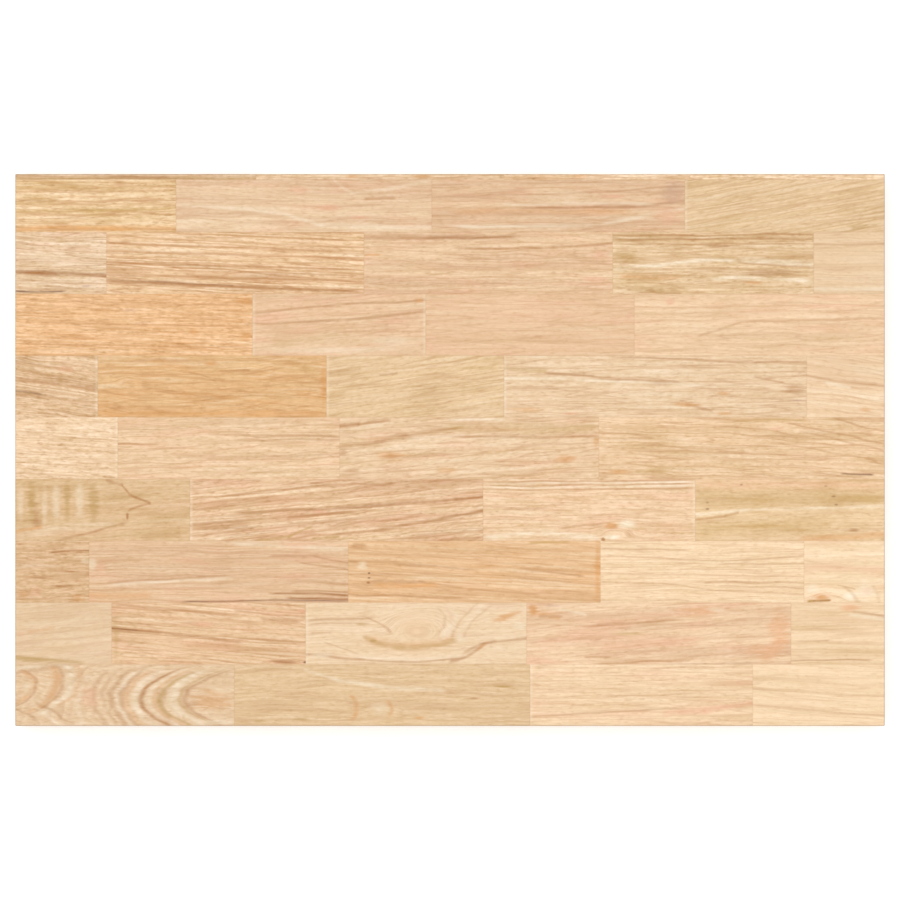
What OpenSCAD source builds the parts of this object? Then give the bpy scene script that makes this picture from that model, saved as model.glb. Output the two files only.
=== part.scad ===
// Butcher block countertop: solid oak staves glued edge to edge in ten rows.
// The staves of a row are joined end to end by finger joints cut through the thickness, so
// that the two faces show straight joints and the front and rear edges show the fingers.
// Millimetres. X runs along the length, Y runs to the rear edge and Z goes up.
// The origin is the middle of the underside.

/* [Panel] */
// Length of the panel, along the grain
panel_l = 1000; // [940:1:1300]
// Thickness of the panel
panel_t = 38; // [18:1:60]
// Radius of the eased arris on every outer edge
arris_r = 1.5; // [0.5:0.25:3]

/* [Rows] */
// Width of the strip that closes the rear edge, ripped to bring the panel to depth
strip_w = 6.5; // [4:0.5:40]
// Width of the narrower row behind the full rows
narrow_w = 60.5; // [30:0.5:90]
// Width of a full stave
stave_w = 71; // [40:1:110]

/* [Finger joint] */
// Length of a finger
finger_l = 10; // [4:0.5:14]
// Distance from one finger to the next
finger_pitch = 3.8; // [3:0.1:8]
// Width of a finger's tip
tip_w = 0.6; // [0.2:0.1:1.2]
// Glue gap between a finger's tip and the root that it enters
tip_gap = 0.2; // [0.05:0.05:0.5]
// Least depth of the square shoulder at each face
shoulder_min = 2; // [1:0.5:6]

/* [End joints of the strip] */
// First joint of the strip, from the left end
strip_joint_1 = 277; // [210:1:340]
// Second joint of the strip
strip_joint_2 = 562; // [480:1:640]
// Last joint of the strip, from the right end
strip_last_joint = 224; // [150:1:240]

/* [End joints of row 1] */
// First joint of row 1, from the left end
row_1_joint_1 = 185; // [100:1:280]
// Second joint of row 1
row_1_joint_2 = 479; // [400:1:560]
// Last joint of row 1, from the right end
row_1_last_joint = 230; // [140:1:320]

/* [End joints of row 2] */
// First joint of row 2, from the left end
row_2_joint_1 = 105; // [60:1:220]
// Second joint of row 2
row_2_joint_2 = 401; // [320:1:480]
// Third joint of row 2
row_2_joint_3 = 687; // [600:1:760]
// Last joint of row 2, from the right end
row_2_last_joint = 82; // [60:1:120]

/* [End joints of row 3] */
// First joint of row 3, from the left end
row_3_joint_1 = 273; // [200:1:350]
// Second joint of row 3
row_3_joint_2 = 472; // [410:1:550]
// Last joint of row 3, from the right end
row_3_last_joint = 288; // [200:1:330]

/* [End joints of row 4] */
// First joint of row 4, from the left end
row_4_joint_1 = 95; // [60:1:200]
// Second joint of row 4
row_4_joint_2 = 358; // [280:1:430]
// Third joint of row 4
row_4_joint_3 = 562; // [490:1:680]
// Last joint of row 4, from the right end
row_4_last_joint = 90; // [60:1:180]

/* [End joints of row 5] */
// First joint of row 5, from the left end
row_5_joint_1 = 118; // [60:1:210]
// Second joint of row 5
row_5_joint_2 = 373; // [290:1:460]
// Last joint of row 5, from the right end
row_5_last_joint = 329; // [240:1:420]

/* [End joints of row 6] */
// First joint of row 6, from the left end
row_6_joint_1 = 201; // [120:1:300]
// Second joint of row 6
row_6_joint_2 = 538; // [440:1:620]
// Last joint of row 6, from the right end
row_6_last_joint = 218; // [130:1:260]

/* [End joints of row 7] */
// First joint of row 7, from the left end
row_7_joint_1 = 85; // [60:1:200]
// Second joint of row 7
row_7_joint_2 = 383; // [300:1:480]
// Third joint of row 7
row_7_joint_3 = 673; // [580:1:750]
// Last joint of row 7, from the right end
row_7_last_joint = 93; // [60:1:130]

/* [End joints of row 8] */
// First joint of row 8, from the left end
row_8_joint_1 = 111; // [60:1:200]
// Second joint of row 8
row_8_joint_2 = 334; // [260:1:420]
// Third joint of row 8
row_8_joint_3 = 588; // [500:1:680]
// Last joint of row 8, from the right end
row_8_last_joint = 108; // [60:1:180]

/* [End joints of row 9] */
// First joint of row 9, from the left end
row_9_joint_1 = 252; // [160:1:340]
// Second joint of row 9
row_9_joint_2 = 592; // [500:1:680]
// Last joint of row 9, from the right end
row_9_last_joint = 152; // [70:1:200]

/* [Hidden] */
// Tones of the oak, from the deepest stave to the palest
tan_oak = "#DEBA90";
honey_oak = "#E5BD8E";
straw_oak = "#E3C196";
biscuit_oak = "#E7C39C";
wheat_oak = "#EAC8A3";
peach_oak = "#EDC9A0";
cream_oak = "#EFD0AB";
pale_oak = "#F5D6B0";

// Each row from the rear edge to the front: its name, its width, its joints and its tones
ROWS = [
    ["strip", strip_w,
        [strip_joint_1, strip_joint_2, panel_l - strip_last_joint],
        [tan_oak, biscuit_oak, wheat_oak, peach_oak]],
    ["row_1", narrow_w,
        [row_1_joint_1, row_1_joint_2, panel_l - row_1_last_joint],
        [straw_oak, wheat_oak, straw_oak, straw_oak]],
    ["row_2", stave_w,
        [row_2_joint_1, row_2_joint_2, row_2_joint_3, panel_l - row_2_last_joint],
        [biscuit_oak, straw_oak, biscuit_oak, straw_oak, peach_oak]],
    ["row_3", stave_w,
        [row_3_joint_1, row_3_joint_2, panel_l - row_3_last_joint],
        [honey_oak, wheat_oak, peach_oak, cream_oak]],
    ["row_4", stave_w,
        [row_4_joint_1, row_4_joint_2, row_4_joint_3, panel_l - row_4_last_joint],
        [straw_oak, honey_oak, biscuit_oak, wheat_oak, cream_oak]],
    ["row_5", stave_w,
        [row_5_joint_1, row_5_joint_2, panel_l - row_5_last_joint],
        [cream_oak, wheat_oak, biscuit_oak, biscuit_oak]],
    ["row_6", stave_w,
        [row_6_joint_1, row_6_joint_2, panel_l - row_6_last_joint],
        [tan_oak, straw_oak, cream_oak, wheat_oak]],
    ["row_7", stave_w,
        [row_7_joint_1, row_7_joint_2, row_7_joint_3, panel_l - row_7_last_joint],
        [tan_oak, straw_oak, honey_oak, pale_oak, pale_oak]],
    ["row_8", stave_w,
        [row_8_joint_1, row_8_joint_2, row_8_joint_3, panel_l - row_8_last_joint],
        [wheat_oak, straw_oak, cream_oak, peach_oak, cream_oak]],
    ["row_9", stave_w,
        [row_9_joint_1, row_9_joint_2, panel_l - row_9_last_joint],
        [straw_oak, biscuit_oak, cream_oak, pale_oak]],
];

// Depth of the rows from the rear edge up to a row, and of the whole panel
function depth_before(row) = row == 0 ? 0 : depth_before(row - 1) + ROWS[row - 1][1];
panel_d = depth_before(len(ROWS));

// Tips along one joint, counting those of both staves, and the shoulder that they leave
tip_count = floor((panel_t - 2 * shoulder_min) / (finger_pitch / 2));
shoulder = (panel_t - tip_count * finger_pitch / 2) / 2;
// Rise of a finger's flank over its whole length
flank_rise = finger_pitch / 2 - tip_w;

// How far the blanks run past the panel before its outside is dressed
dressing = 1;
$fn = 48;

function stave_count(row) = len(ROWS[row][2]) + 1;
function stave_name(row, place) = str(ROWS[row][0], "_stave_", place + 1);

// A square end of a row, from the underside up
function square_edge(x) = [[x, 0], [x, panel_t]];

// One side of a finger joint, from the underside up. The path starts on a square shoulder,
// swings to the right and to the left in turn, and ends on the other shoulder. The stave
// on the left of the joint has a grip of 1 and the stave on its right a grip of -1: where
// the path swings the way of the grip it rounds a finger of that stave, whose tip stops
// short of the root by the glue gap.
function finger_edge(x, grip) = [
    [x, 0],
    [x, shoulder],
    for (tip = [0 : tip_count - 1])
        let (
            swing = tip % 2 == 0 ? 1 : -1,
            gap = swing == grip ? tip_gap : 0,
            reach = swing * (finger_l / 2 - gap),
            half_w = tip_w / 2 + flank_rise * gap / finger_l,
            z = shoulder + (tip + 0.5) * finger_pitch / 2
        )
        each [[x + reach, z - half_w], [x + reach, z + half_w]],
    [x, panel_t - shoulder],
    [x, panel_t]
];

function reversed(points) = [for (n = [len(points) - 1 : -1 : 0]) points[n]];

// Long section of a stave between its two ends
function stave_section(row, place) =
    let (
        joints = ROWS[row][2],
        last = len(joints),
        left = place == 0
            ? square_edge(-dressing)
            : finger_edge(joints[place - 1], -1),
        right = place == last
            ? square_edge(panel_l + dressing)
            : finger_edge(joints[place], 1)
    )
    concat(left, reversed(right));

// A rectangle about the origin with rounded corners
module eased_rectangle(w, h) {
    square([w - 2 * arris_r, h], center = true);
    square([w, h - 2 * arris_r], center = true);
    for (x = [-1, 1])
        for (y = [-1, 1])
            translate([x * (w / 2 - arris_r), y * (h / 2 - arris_r)])
                circle(r = arris_r);
}

// The outside of the panel, dressed square with every arris eased
module dressed_panel() {
    translate([0, 0, panel_t / 2])
        intersection() {
            linear_extrude(panel_t, center = true)
                eased_rectangle(panel_l, panel_d);
            rotate([90, 0, 0])
                linear_extrude(panel_d, center = true)
                    eased_rectangle(panel_l, panel_t);
            rotate([90, 0, 90])
                linear_extrude(panel_l, center = true)
                    eased_rectangle(panel_d, panel_t);
        }
}

// One stave of a row, machined at its ends and dressed where it reaches the outside
module stave(row, place) {
    rear_y = panel_d / 2 - depth_before(row);
    color(ROWS[row][3][place])
        intersection() {
            translate([-panel_l / 2, rear_y, 0])
                rotate([90, 0, 0])
                    linear_extrude(ROWS[row][1])
                        polygon(stave_section(row, place));
            dressed_panel();
        }
}

for (row = [0 : len(ROWS) - 1])
    for (place = [0 : stave_count(row) - 1])
        stave(row, place);
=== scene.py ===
import math

import bpy
import numpy as np
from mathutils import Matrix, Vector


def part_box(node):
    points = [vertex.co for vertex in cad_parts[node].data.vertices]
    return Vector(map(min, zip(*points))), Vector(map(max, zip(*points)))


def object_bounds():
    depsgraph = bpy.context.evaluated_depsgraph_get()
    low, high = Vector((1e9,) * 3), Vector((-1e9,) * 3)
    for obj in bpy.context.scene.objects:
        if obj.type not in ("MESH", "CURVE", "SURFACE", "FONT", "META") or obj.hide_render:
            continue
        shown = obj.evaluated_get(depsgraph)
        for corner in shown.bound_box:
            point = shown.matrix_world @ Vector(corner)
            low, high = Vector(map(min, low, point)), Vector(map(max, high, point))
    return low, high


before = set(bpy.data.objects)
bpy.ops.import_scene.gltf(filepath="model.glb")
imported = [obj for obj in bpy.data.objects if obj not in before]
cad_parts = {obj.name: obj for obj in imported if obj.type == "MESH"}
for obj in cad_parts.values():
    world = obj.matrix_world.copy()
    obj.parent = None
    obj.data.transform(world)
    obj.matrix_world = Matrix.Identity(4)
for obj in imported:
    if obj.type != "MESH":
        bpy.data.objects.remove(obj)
cad_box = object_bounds()
scene = bpy.context.scene
scene.view_settings.view_transform = "Standard"

# The photographer's place: straight above the middle of the panel, looking down, with the
# rear edge at the top of a square picture. The panel fills 870 of the picture's 900 pixels,
# and the lens is long, so that no side of the panel shows.
PICTURE_PX = 900
PANEL_PX = 869.8
CAMERA_ABOVE_FACE = 4.0
SENSOR_MM = 36.0
low, high = (np.array(corner) for corner in cad_box)
field_w = (high[0] - low[0]) * PICTURE_PX / PANEL_PX
camera_data = bpy.data.cameras.new("camera")
camera_data.sensor_width = SENSOR_MM
camera_data.lens = SENSOR_MM * CAMERA_ABOVE_FACE / field_w
camera_data.clip_end = 50.0
camera = bpy.data.objects.new("camera", camera_data)
camera.location = (0.0, 0.0, high[2] + CAMERA_ABOVE_FACE)
scene.collection.objects.link(camera)
scene.camera = camera


# The oak. Red oak, sawn, planed, glued up and sanded, with no oil or lacquer on it. It is a
# ring-porous wood: each year's ring starts with a row of open pores, which reads as a brown
# line of short dashes along the grain, and goes over into smooth pale wood.
def linear(hex_colour):
    """An sRGB hex colour as the linear RGBA that a shader takes."""
    channels = [int(hex_colour[n : n + 2], 16) / 255 for n in (1, 3, 5)]
    return [c / 12.92 if c <= 0.04045 else ((c + 0.055) / 1.055) ** 2.4 for c in channels] + [1.0]


def add(tree, kind, values=(), **settings):
    """Adds one shader node. Values go to its inputs by order or by name: a node there
    stands for its first output, None leaves the input alone, and settings are properties."""
    node = tree.nodes.new("ShaderNode" + kind)
    for name, value in settings.items():
        setattr(node, name, value)
    for key, value in values.items() if isinstance(values, dict) else enumerate(values):
        if isinstance(value, bpy.types.Node):
            value = value.outputs[0]
        if isinstance(value, bpy.types.NodeSocket):
            tree.links.new(value, node.inputs[key])
        elif value is not None:
            node.inputs[key].default_value = value
    return node


def number(tree, operation, *values, **settings):
    """Adds one sum of numbers."""
    return add(tree, "Math", values, operation=operation, **settings)


def vector(tree, operation, *values):
    """Adds one sum of vectors."""
    return add(tree, "VectorMath", values, operation=operation)


def ramp(tree, *values):
    """Adds a ramp: of this value, between these two, from one amount to another."""
    return add(tree, "MapRange", values)


def smooth(tree, *values):
    """Adds a ramp with soft ends."""
    return add(tree, "MapRange", values, interpolation_type="SMOOTHSTEP")


def grain_noise(tree, place, length, width, detail):
    """Adds noise that is drawn out along the grain, with its length and width in mm."""
    stretched = vector(tree, "MULTIPLY", place, (1 / length, 1 / width, 1 / width))
    return add(tree, "TexNoise", {"Vector": stretched, "Scale": 1.0, "Detail": detail})


def new_group(name, inputs, outputs):
    """An empty node group with those sockets, given as {name: kind}. Returns the group, the
    sockets of what is given to it and the sockets of what it makes."""
    group = bpy.data.node_groups.new(name, "ShaderNodeTree")
    for in_out, sockets in (("INPUT", inputs), ("OUTPUT", outputs)):
        for socket, kind in sockets.items():
            group.interface.new_socket(socket, in_out=in_out, socket_type="NodeSocket" + kind)
    given = group.nodes.new("NodeGroupInput").outputs
    made = group.nodes.new("NodeGroupOutput").inputs
    return group, given, made


# The rings of the tree. Place is in millimetres: along the panel from its left end, across
# the row from its rear edge, and up from the underside. Each ring is a cylinder round the
# heart, which passes the stave at Heart and leans by Lean for each millimetre along. A
# distant heart gives straight lines and one under the face gives cathedral arches. The
# seasons' noise runs slowly over the years and shifts them by up to its sway, and Years Apart
# keeps one year's noise off the next one's.
WAVE_MM = (130.0, 40.0)
RIPPLE_MM = (38.0, 9.0)
STRETCH_MM = 110.0
SEASON_RATE = 0.41
SEASON_SWAY = 2.2
YEARS_APART = 5.37
RISE_WITH_RINGS = 0.25
rings, given, made = new_group(
    "oak_rings",
    {"Place": "Vector", "Block": "Vector", "Heart": "Vector", "Lean": "Vector", "Swirl": "Float",
     "Ring": "Float", "Fade": "Float", "Wave": "Float", "Ripple": "Float"},
    {"Lines": "Float", "Late": "Float", "Grain": "Vector", "Straight": "Vector", "Wobble": "Float"},
)
place = add(rings, "SeparateXYZ", [given["Place"]])
lean_here = vector(rings, "MULTIPLY", given["Lean"], place.outputs["X"])
heart_here = vector(rings, "ADD", lean_here, given["Heart"])
# The fibres lean with the rings to one side, but hardly rise or fall with them
fibre_lean = vector(rings, "MULTIPLY", lean_here, (0.0, 1.0, RISE_WITH_RINGS))
straight = vector(rings, "SUBTRACT", given["Block"], fibre_lean)
# Waves of the grain, and short ripples on them
wave = grain_noise(rings, given["Block"], *WAVE_MM, 1.0)
wave_off = number(rings, "ADD", wave, -0.5)
wave_mm = number(rings, "MULTIPLY", wave_off, given["Wave"])
ripple = grain_noise(rings, given["Block"], *RIPPLE_MM, 0.0)
ripple_off = number(rings, "ADD", ripple, -0.5)
ripple_mm = number(rings, "MULTIPLY", ripple_off, given["Ripple"])
wavy_mm = number(rings, "ADD", wave_mm, ripple_mm)
bent_mm = number(rings, "ADD", wavy_mm, given["Swirl"])
from_heart = vector(rings, "SUBTRACT", given["Place"], heart_here)
round_heart = vector(rings, "MULTIPLY", from_heart, (0.0, 1.0, 1.0))
radius = vector(rings, "LENGTH", round_heart)
bent_radius = number(rings, "ADD", radius.outputs["Value"], bent_mm)
years = number(rings, "DIVIDE", bent_radius, given["Ring"])
# Good and bad years: a slow noise over the rings makes some wide and some narrow
seasons = add(rings, "TexNoise", {"W": years, "Scale": SEASON_RATE, "Detail": 1.0},
              noise_dimensions="1D")
season = number(rings, "MULTIPLY_ADD", seasons, SEASON_SWAY, years)
year = number(rings, "FLOOR", season)
part_of_year = number(rings, "FRACT", season)
onset = smooth(rings, part_of_year, 0.0, 0.16, 0.0, 1.0)
fade = smooth(rings, part_of_year, 0.12, given["Fade"], 1.0, 0.0)
band = number(rings, "MULTIPLY", fade, onset)
# The dense late wood of the same year, paler than the rest
late_peak = number(rings, "MULTIPLY_ADD", given["Fade"], 0.5, 0.5)
late_on = smooth(rings, part_of_year, given["Fade"], late_peak, 0.0, 1.0)
late_off = smooth(rings, part_of_year, late_peak, 1.0, 1.0, 0.0)
late_band = number(rings, "MULTIPLY", late_on, late_off)
# A year's line is strong in one stretch and almost gone in the next
stretch_x = number(rings, "DIVIDE", place.outputs["X"], STRETCH_MM)
year_y = number(rings, "MULTIPLY", year, YEARS_APART)
stretch_place = add(rings, "CombineXYZ", [stretch_x, year_y])
stretch = add(rings, "TexNoise", {"Vector": stretch_place, "Scale": 1.0, "Detail": 1.0},
              noise_dimensions="2D")
strength = ramp(rings, stretch, 0.3, 0.68, 0.12, 1.0)
lines = number(rings, "MULTIPLY", band, strength)
late = number(rings, "MULTIPLY", late_band, strength)
grain_shift = add(rings, "CombineXYZ", [None, bent_mm])
grain = vector(rings, "ADD", straight, grain_shift)
for socket, node in (("Lines", lines), ("Late", late), ("Grain", grain),
                     ("Straight", straight), ("Wobble", ripple_mm)):
    rings.links.new(node.outputs[0], made[socket])

# The fibres: noise drawn out along the grain. Shade is the slow change of tone, 180 mm long
# and 11 mm wide, Blush the patches of another tint, Thread the long wavy lines 6 mm apart,
# Bundle the fibre bundles 4 mm wide, Fleck the short rays, and Dash the single pores. Those
# are 0.3 mm wide in real oak, and are drawn 2 mm wide so that they show.
fibres, given, made = new_group(
    "oak_fibres",
    {"Grain": "Vector", "Straight": "Vector"},
    {"Shade": "Float", "Blush": "Float", "Thread": "Float", "Bundle": "Float", "Fleck": "Float",
     "Dash": "Float"},
)
for output, followed, length, width, detail in (
    ("Shade", "Grain", 180.0, 11.0, 2.0),
    ("Blush", "Grain", 70.0, 13.0, 1.0),
    ("Thread", "Grain", 120.0, 6.0, 1.0),
    ("Bundle", "Grain", 42.0, 4.0, 2.0),
    ("Fleck", "Grain", 7.0, 2.6, 1.0),
    ("Dash", "Straight", 8.0, 2.0, 1.0),
):
    noise = grain_noise(fibres, given[followed], length, width, detail)
    fibres.links.new(noise.outputs[0], made[output])

# One single line of the grain that stands out, such as a dark year or a pale ray. It runs
# from Start to End, swings out by Bend halfway, is Width wide at half its depth of colour,
# thins out at both ends and wobbles with the ripples of the grain.
THIN_OUT = 11.0
LINE_SOCKETS = {"Place": "Vector", "Wobble": "Float", "Fibre": "Float", "Start": "Vector",
                "End": "Vector", "Width": "Float", "Bend": "Float", "Show": "Float"}
streaks, given, made = new_group("oak_streak", LINE_SOCKETS, {"Amount": "Float"})
place = add(streaks, "SeparateXYZ", [given["Place"]])
start = add(streaks, "SeparateXYZ", [given["Start"]])
end = add(streaks, "SeparateXYZ", [given["End"]])
part = ramp(streaks, place.outputs["X"], start.outputs["X"], end.outputs["X"])
part_left = number(streaks, "SUBTRACT", 1.0, part)
middle = number(streaks, "MULTIPLY", part, part_left)
chord_y = ramp(streaks, part, 0.0, 1.0, start.outputs["Y"], end.outputs["Y"])
# Halfway this product is a quarter, and there Bend counts in full
swing = number(streaks, "MULTIPLY", middle, 4.0)
line_y = number(streaks, "MULTIPLY_ADD", swing, given["Bend"], chord_y)
own_y = number(streaks, "ADD", place.outputs["Y"], given["Wobble"])
off_line = number(streaks, "SUBTRACT", own_y, line_y)
distance = number(streaks, "ABSOLUTE", off_line)
core = smooth(streaks, distance, 0.0, given["Width"], given["Show"], 0.0)
taper = number(streaks, "MULTIPLY", middle, THIN_OUT, use_clamp=True)
tapered = number(streaks, "MULTIPLY", core, taper)
broken = number(streaks, "MULTIPLY", tapered, given["Fibre"])
streaks.links.new(broken.outputs[0], made["Amount"])

# The same for a line that runs across the stave, such as one side of a cathedral arch: along
# and across change places, and Bend swings it out along the stave.
arcs, given, made = new_group("oak_arc", LINE_SOCKETS, {"Amount": "Float"})
turned = {}
for socket in ("Place", "Start", "End"):
    parts = add(arcs, "SeparateXYZ", [given[socket]]).outputs
    turned[socket] = add(arcs, "CombineXYZ", [parts["Y"], parts["X"]])
kept = {socket: given[socket] for socket in ("Wobble", "Fibre", "Width", "Bend", "Show")}
arc_line = add(arcs, "Group", {**turned, **kept}, node_tree=streaks)
arcs.links.new(arc_line.outputs[0], made["Amount"])

# One patch of another tint, such as a knot's halo, a pitch fleck or a flame of heartwood: an
# ellipse round Middle that reaches out by Reach, with its rim frayed along the fibres by Fray.
FRAY_MIDDLE = 0.8
patches, given, made = new_group(
    "oak_patch",
    {"Place": "Vector", "Fibre": "Float", "Middle": "Vector", "Reach": "Vector", "Tilt": "Float",
     "Fray": "Float", "Show": "Float"},
    {"Amount": "Float"},
)
offset = vector(patches, "SUBTRACT", given["Place"], given["Middle"])
off = add(patches, "SeparateXYZ", [offset])
drop = number(patches, "MULTIPLY", off.outputs["X"], given["Tilt"])
off_y = number(patches, "SUBTRACT", off.outputs["Y"], drop)
levelled = add(patches, "CombineXYZ", [off.outputs["X"], off_y])
in_reach = vector(patches, "DIVIDE", levelled, given["Reach"])
reach = vector(patches, "LENGTH", in_reach)
fray_off = number(patches, "ADD", given["Fibre"], -FRAY_MIDDLE)
frayed = number(patches, "MULTIPLY_ADD", fray_off, given["Fray"], reach.outputs["Value"])
amount = smooth(patches, frayed, 0.2, 1.0, given["Show"], 0.0)
patches.links.new(amount.outputs[0], made["Amount"])

# The tones of bare red oak: those of the staves from pale to deep, then those of the marks
OAK = {name: linear(colour) for name, colour in {
    "pale": "#FFE3BC",
    "ivory": "#FCDCB3",
    "cream": "#F9DAB4",
    "peach": "#F7D3AA",
    "wheat": "#F4D3AB",
    "biscuit": "#F4CFA4",
    "apricot": "#F5CCA2",
    "straw": "#F0CEA0",
    "sand": "#F0C99E",
    "rose": "#ECC4A2",
    "honey": "#EFBA82",
    "orange": "#F7C794",
    "bronze": "#F0C595",
    "tan": "#E9C194",
    "caramel": "#E9BD86",
    "umber": "#B6783C",
    "bark": "#6E3010",
    "rust": "#B0743C",
    "olive": "#C49B54",
    "amber": "#E09B52",
    "blush": "#F2B592",
    "salmon": "#EFAF7F",
    "violet": "#C49A88",
    "milk": "#FFEBCC",
    # The grey of the painted shade line along the arris
    "painted_edge_shade": "#C6AE96",
}.items()}
PANEL_LEFT_MM = 1000 * low[0]
PANEL_RIGHT_MM = 1000 * high[0]
FINGER_REACH_MM = 4.8
FACE_MM = 1000 * high[2]
BLOCKS = 997
BLOCK_APART_MM = 137.0
MARK_DEPTH_MM = 14.0
GLUE_LINE_MM = 1.3
PALE_END_MM = 4.5
LATE_SHOW = 0.8
END_LINES = 0.5
END_SHADE = 0.28
ARRIS_SHADE = 0.75
GLUE_SHADE = 0.14
PALE_END_SHOW = 0.34
HEART_AWAY_MM = 180.0
LEAST_SLANT_DEG = 10
SLANT_STEP_DEG = 9
SLANTS = 5
WARM_SHADE = (0.72, 1.0, 1.55)
SANDED_ROUGHNESS = 0.62
PORE_ROUGHNESS = 0.8
PORE_DEPTH = 0.00012


def streak(tone, start, end, width, show, bend=0.0):
    """A line of the grain in another tone, from start to end: (along, across) in mm."""
    return streaks, tone, {"Start": (*start, 0.0), "End": (*end, 0.0), "Width": width,
                           "Show": show, "Bend": bend}


def arc(tone, start, end, width, show, bend):
    """A line in another tone that runs across the stave, from its rear side to its front."""
    return arcs, *streak(tone, start, end, width, show, bend)[1:]


def patch(tone, middle, reach, show, tilt=0.0, fray=0.9):
    """A patch of another tone round its middle, reaching out along and across."""
    return patches, tone, {"Middle": (*middle, 0.0), "Reach": (*reach, 1.0), "Show": show,
                           "Tilt": tilt, "Fray": fray}


def swirl(height, middle, reach):
    """A place where the rings swell round a knot by height millimetres, so that the lines
    bend round it or close into loops."""
    return patch(None, middle, reach, height, fray=0.0)


def face_ends(left, right):
    """Where a stave ends on its face, along the panel. At a joint that is at the roots of the
    fingers, not at their tips."""
    ends = [left - PANEL_LEFT_MM, right - PANEL_LEFT_MM]
    if left > PANEL_LEFT_MM + 1:
        ends[0] += FINGER_REACH_MM
    if right < PANEL_RIGHT_MM - 1:
        ends[1] -= FINGER_REACH_MM
    return ends


def log_heart(block_number, half_width):
    """The heart of the log that a stave comes from, across and up in the stave's place, and
    how much of each ring's width shows on the face. Each stave was sawn from another side of
    its log, so that the rings cross its end grain at their own slant."""
    slant = math.radians(LEAST_SLANT_DEG + SLANT_STEP_DEG * (block_number % SLANTS))
    rear_or_front = 1 - 2 * (block_number % 2)
    heart = (half_width - rear_or_front * HEART_AWAY_MM * math.cos(slant),
             FACE_MM - HEART_AWAY_MM * math.sin(slant))
    return heart, math.cos(slant)


def grain_layers(tree, grown, drawn, end_grain, second, second_show, third, third_show, lines,
                 threads, fibre):
    """From the slow clouds of tone to the fine lines, each as (amount, tone). A layer comes in
    between the first two numbers of its ramp, which are levels of its noise."""
    second_cloud = ramp(tree, drawn["Shade"], 0.38, 0.66, 0.0, second_show)
    third_cloud = ramp(tree, drawn["Blush"], 0.5, 0.72, 0.0, third_show)
    breaks = ramp(tree, drawn["Fleck"], 0.3, 0.7, 0.5, 1.4)
    # Sawn across, the rows of open pores are seen from above, and each year shows far more
    line_show = ramp(tree, end_grain, 0.0, 1.0, lines, max(lines, END_LINES))
    broken_lines = number(tree, "MULTIPLY", breaks, line_show)
    ring_lines = number(tree, "MULTIPLY", grown["Lines"], broken_lines)
    late_lines = number(tree, "MULTIPLY", grown["Late"], LATE_SHOW * lines)
    off_thread = number(tree, "SUBTRACT", drawn["Thread"], 0.5)
    near_thread = number(tree, "ABSOLUTE", off_thread)
    whole_threads = smooth(tree, near_thread, 0.0, 0.05, threads, 0.0)
    dark_threads = number(tree, "MULTIPLY", whole_threads, breaks)
    pale_threads = ramp(tree, drawn["Thread"], 0.6, 0.72, 0.0, 0.8 * threads)
    pores = ramp(tree, drawn["Dash"], 0.54, 0.74, 0.0, 0.3 * fibre)
    return [
        (second_cloud, second),
        (third_cloud, third),
        (ring_lines, "umber"),
        (late_lines, "milk"),
        (dark_threads, "umber"),
        (pale_threads, "milk"),
        (pores, "umber"),
    ]


def mark_layers(tree, place, wobble, bundle, marks):
    """The marks that stand out, each as (amount, tone). They were picked for the face, and run
    some way down into the wood."""
    height = add(tree, "SeparateXYZ", [place]).outputs["Z"]
    in_face = ramp(tree, height, FACE_MM - MARK_DEPTH_MM, FACE_MM - 1.0)
    uneven = ramp(tree, bundle, 0.3, 0.7, 0.45, 1.15)
    uneven_in_face = number(tree, "MULTIPLY", uneven, in_face)
    layers = []
    for kind, tone, values in marks:
        if kind in (streaks, arcs):
            amount = add(tree, "Group", {"Place": place, "Wobble": wobble,
                                         "Fibre": uneven_in_face, **values}, node_tree=kind)
            layers.append((amount, tone))
        elif tone is not None:
            whole = add(tree, "Group", {"Place": place, "Fibre": uneven, **values}, node_tree=kind)
            layers.append((number(tree, "MULTIPLY", whole, in_face), tone))
    return layers


def edge_layers(tree, place, facing, end_grain, ends, half_length, half_width):
    """The thin glue line round the stave, the end grain, and painted shade on the arris, as
    (amount, tone).
    """
    middle = (ends[0] + half_length, half_width, 0.0)
    from_middle = vector(tree, "SUBTRACT", place, middle)
    distances = vector(tree, "ABSOLUTE", from_middle)
    apart = add(tree, "SeparateXYZ", [distances]).outputs
    to_end = number(tree, "SUBTRACT", half_length, apart["X"])
    to_side = number(tree, "SUBTRACT", half_width, apart["Y"])
    to_joint = number(tree, "MINIMUM", to_end, to_side)
    on_face = number(tree, "ABSOLUTE", facing["Z"])
    glue = ramp(tree, to_joint, 0.0, GLUE_LINE_MM, GLUE_SHADE, 0.0)
    glue_line = number(tree, "MULTIPLY", glue, on_face)
    # End grain drinks more light than the face, because its open pores are seen from above
    end_shade = number(tree, "MULTIPLY", end_grain, END_SHADE)
    # Painted shade: the eased arris is greyed into a thin darker line, as shade along the panel's
    # edges
    upright = number(tree, "MAXIMUM", end_grain, on_face)
    sideways = number(tree, "ABSOLUTE", facing["Y"])
    squareness = number(tree, "MAXIMUM", upright, sideways)
    arris = ramp(tree, squareness, 0.85, 0.99, ARRIS_SHADE, 0.0)
    return [(glue_line, "umber"), (end_shade, "umber"), (arris, "painted_edge_shade")]


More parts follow.
